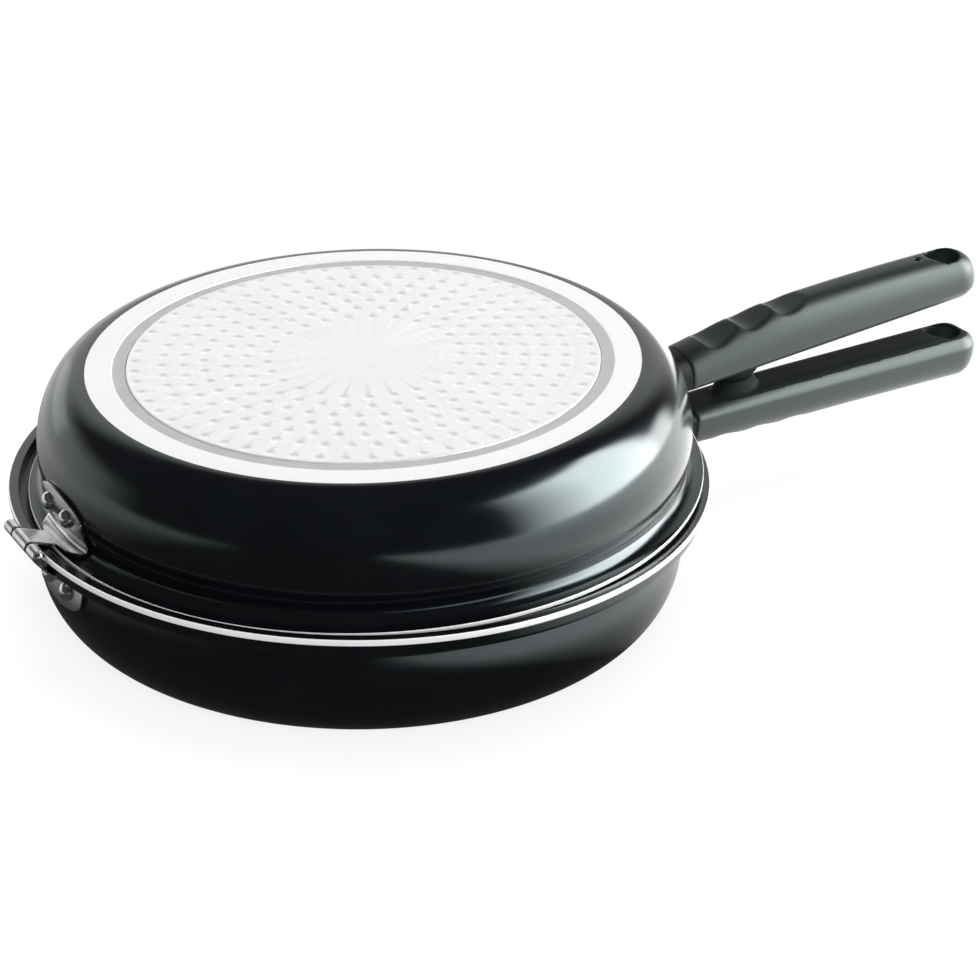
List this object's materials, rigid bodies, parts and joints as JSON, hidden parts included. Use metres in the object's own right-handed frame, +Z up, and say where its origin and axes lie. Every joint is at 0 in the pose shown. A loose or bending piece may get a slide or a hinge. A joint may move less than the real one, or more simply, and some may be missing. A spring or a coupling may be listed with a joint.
{
  "type": "double sided flip pan",
  "caption": "Hinged double frying pan: a shallow pan and an inverted pan as its lid, each with a moulded grip, joined by a hook hinge and closing mouth to mouth.",
  "frame": {"origin": "centre of the lower pan's base, in the plane of its foot ring", "axes": "+Z up through both pans, +X from the hinge to the handles, +Y to the side"},
  "size_m": [0.4401, 0.268, 0.0997],
  "materials": {
    "enamel": "glossy black enamel on cast aluminium",
    "disc_steel": "brushed disc with rings of dimples",
    "hinge_steel": "polished stainless sheet and rivets",
    "screw_steel": "plain steel",
    "cast_aluminium": "cast",
    "grip_plastic": "satin black moulded plastic",
    "guard_steel": "gloss black sheet sleeve"
  },
  "bodies": {
    "lower_pan": {"lower_pan": "enamel", "lower_base_disc": "disc_steel", "lower_handle_boss": "cast_aluminium", "lower_flame_guard": "guard_steel", "lower_grip": "grip_plastic", "lower_handle_screw": "screw_steel", "lower_spring_washer": "screw_steel", "lower_hinge_bracket": "hinge_steel", "lower_rivet_front": "hinge_steel", "lower_rivet_rear": "hinge_steel", "hinge_pin": "hinge_steel"},
    "upper_pan": {"upper_pan": "enamel", "upper_base_disc": "disc_steel", "upper_handle_boss": "cast_aluminium", "upper_flame_guard": "guard_steel", "upper_grip": "grip_plastic", "upper_handle_screw": "screw_steel", "upper_spring_washer": "screw_steel", "upper_hinge_hook": "hinge_steel", "upper_rivet_front": "hinge_steel", "upper_rivet_rear": "hinge_steel"}
  },
  "joints": [
    {"name": "pan_hinge", "type": "hinge", "parent": "lower_pan", "child": "upper_pan", "pos_m": [-0.1366, 0, 0.052], "axis": [0, -1, 0], "range_deg": [0, 180]}
  ]
}
